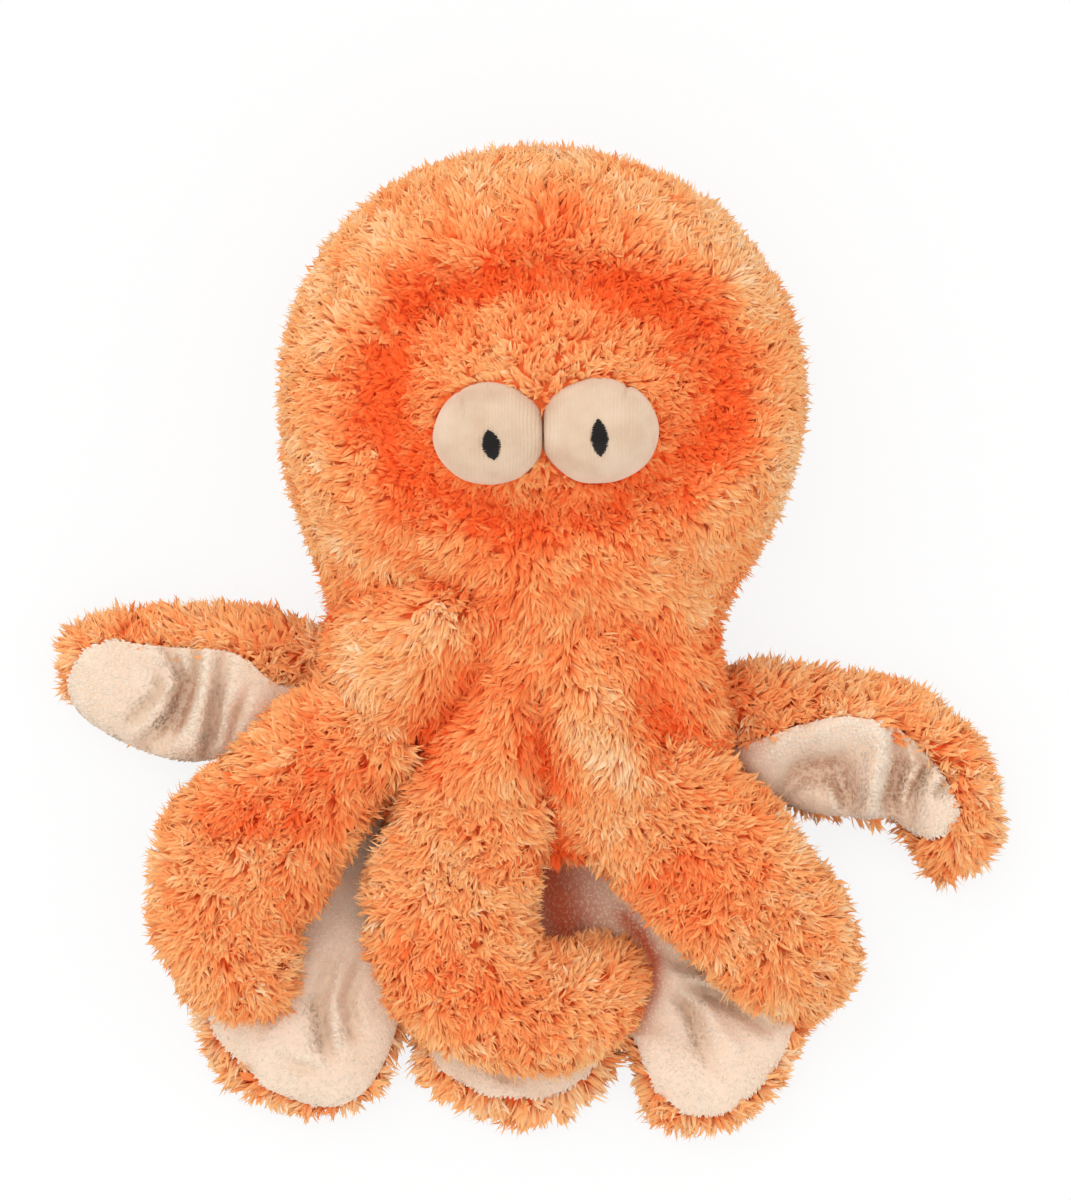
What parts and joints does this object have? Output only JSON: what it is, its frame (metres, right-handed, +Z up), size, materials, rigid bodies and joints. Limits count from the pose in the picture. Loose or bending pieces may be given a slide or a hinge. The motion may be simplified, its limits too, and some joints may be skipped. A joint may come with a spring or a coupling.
{
  "type": "plush octopus",
  "caption": "Stuffed plush octopus lying on its back, with a round furry head, pressed-together fabric eyes and curled arms lined with short plush.",
  "frame": {"origin": "on the floor under the middle of the whole toy's box", "axes": "+X to the right as seen from above, +Y towards the top of the head, +Z up from the floor, out of the face"},
  "size_m": [0.2904, 0.3014, 0.1016],
  "materials": {
    "shaggy_fur": "orange shaggy fur, tips paler than the roots",
    "lining_plush": "cream short-pile plush",
    "eye_velour": "cream velour with fine ribs",
    "pupil": "black satin-stitch embroidery",
    "stuffing": "white polyester fibre"
  },
  "bodies": {
    "bag": {"head_front_panel": "shaggy_fur", "head_back_panel": "shaggy_fur", "base_panel": "lining_plush", "head_stuffing": "stuffing", "left_eye_cover": "eye_velour", "left_eye_stuffing": "stuffing", "left_pupil": "pupil", "right_eye_cover": "eye_velour", "right_eye_stuffing": "stuffing", "right_pupil": "pupil"},
    "front_left_arm": {"front_left_arm_fur": "shaggy_fur", "front_left_arm_lining": "lining_plush", "front_left_arm_stuffing": "stuffing"},
    "front_middle_arm": {"front_middle_arm_fur": "shaggy_fur", "front_middle_arm_lining": "lining_plush", "front_middle_arm_stuffing": "stuffing"},
    "front_right_arm": {"front_right_arm_fur": "shaggy_fur", "front_right_arm_lining": "lining_plush", "front_right_arm_stuffing": "stuffing"},
    "side_left_arm": {"side_left_arm_fur": "shaggy_fur", "side_left_arm_lining": "lining_plush", "side_left_arm_stuffing": "stuffing"},
    "side_right_arm": {"side_right_arm_fur": "shaggy_fur", "side_right_arm_lining": "lining_plush", "side_right_arm_stuffing": "stuffing"},
    "back_left_arm": {"back_left_arm_fur": "shaggy_fur", "back_left_arm_lining": "lining_plush", "back_left_arm_stuffing": "stuffing"},
    "back_middle_arm": {"back_middle_arm_fur": "shaggy_fur", "back_middle_arm_lining": "lining_plush", "back_middle_arm_stuffing": "stuffing"},
    "back_right_arm": {"back_right_arm_fur": "shaggy_fur", "back_right_arm_lining": "lining_plush", "back_right_arm_stuffing": "stuffing"},
    "front_left_tip": {"front_left_tip_fur": "shaggy_fur", "front_left_tip_lining": "lining_plush", "front_left_tip_stuffing": "stuffing"},
    "front_middle_tip": {"front_middle_tip_fur": "shaggy_fur", "front_middle_tip_lining": "lining_plush", "front_middle_tip_stuffing": "stuffing"},
    "side_left_tip": {"side_left_tip_fur": "shaggy_fur", "side_left_tip_lining": "lining_plush", "side_left_tip_stuffing": "stuffing"},
    "side_right_tip": {"side_right_tip_fur": "shaggy_fur", "side_right_tip_lining": "lining_plush", "side_right_tip_stuffing": "stuffing"}
  },
  "joints": [
    {"name": "front_left_arm_lift", "type": "hinge", "parent": "bag", "child": "front_left_arm", "pos_m": [-0.05432, -0.02427, 0.03946], "axis": [-0.4848, 0.8746, 0], "range_deg": [0, 50]},
    {"name": "front_middle_arm_lift", "type": "hinge", "parent": "bag", "child": "front_middle_arm", "pos_m": [-0.02037, -0.04959, 0.03946], "axis": [-0.9563, 0.2924, 0], "range_deg": [0, 50]},
    {"name": "front_right_arm_lift", "type": "hinge", "parent": "bag", "child": "front_right_arm", "pos_m": [0.02852, -0.03799, 0.03946], "axis": [-0.788, -0.6157, 0], "range_deg": [0, 50]},
    {"name": "side_left_arm_lift", "type": "hinge", "parent": "bag", "child": "side_left_arm", "pos_m": [-0.064, -0.00035, 0.02272], "axis": [-0.2588, 0.9659, 0], "range_deg": [0, 45]},
    {"name": "side_right_arm_lift", "type": "hinge", "parent": "bag", "child": "side_right_arm", "pos_m": [0.05393, -0.01039, 0.02272], "axis": [-0.0872, -0.9962, 0], "range_deg": [0, 45]},
    {"name": "back_left_arm_lift", "type": "hinge", "parent": "bag", "child": "back_left_arm", "pos_m": [-0.05238, -0.02778, 0.01408], "axis": [-0.4848, 0.8746, 0], "range_deg": [0, 12.5]},
    {"name": "back_middle_arm_lift", "type": "hinge", "parent": "bag", "child": "back_middle_arm", "pos_m": [-0.01932, -0.04991, 0.01408], "axis": [-0.9563, 0.2924, 0], "range_deg": [0, 12.5]},
    {"name": "back_right_arm_lift", "type": "hinge", "parent": "bag", "child": "back_right_arm", "pos_m": [0.02229, -0.04286, 0.01408], "axis": [-0.788, -0.6157, 0], "range_deg": [0, 12.5]},
    {"name": "front_left_arm_bend", "type": "hinge", "parent": "front_left_arm", "child": "front_left_tip", "pos_m": [-0.09388, -0.06481, 0.03843], "axis": [-0.882, 0.4712, 0], "range_deg": [0, 45]},
    {"name": "front_middle_arm_bend", "type": "hinge", "parent": "front_middle_arm", "child": "front_middle_tip", "pos_m": [-0.02727, -0.08649, 0.03844], "axis": [-0.9703, -0.2418, 0], "range_deg": [0, 45]},
    {"name": "side_left_arm_bend", "type": "hinge", "parent": "side_left_arm", "child": "side_left_tip", "pos_m": [-0.11246, -0.00824, 0.02432], "axis": [-0.0409, 0.9992, 0], "range_deg": [0, 60]},
    {"name": "side_right_arm_bend", "type": "hinge", "parent": "side_right_arm", "child": "side_right_tip", "pos_m": [0.10878, -0.02749, 0.0256], "axis": [-0.2557, -0.9668, 0], "range_deg": [0, 60]}
  ],
  "couplings": [
    {"joint": "back_left_arm_lift", "follows": "front_left_arm_lift", "ratio": 0.25},
    {"joint": "back_middle_arm_lift", "follows": "front_middle_arm_lift", "ratio": 0.25},
    {"joint": "back_right_arm_lift", "follows": "front_right_arm_lift", "ratio": 0.25}
  ]
}
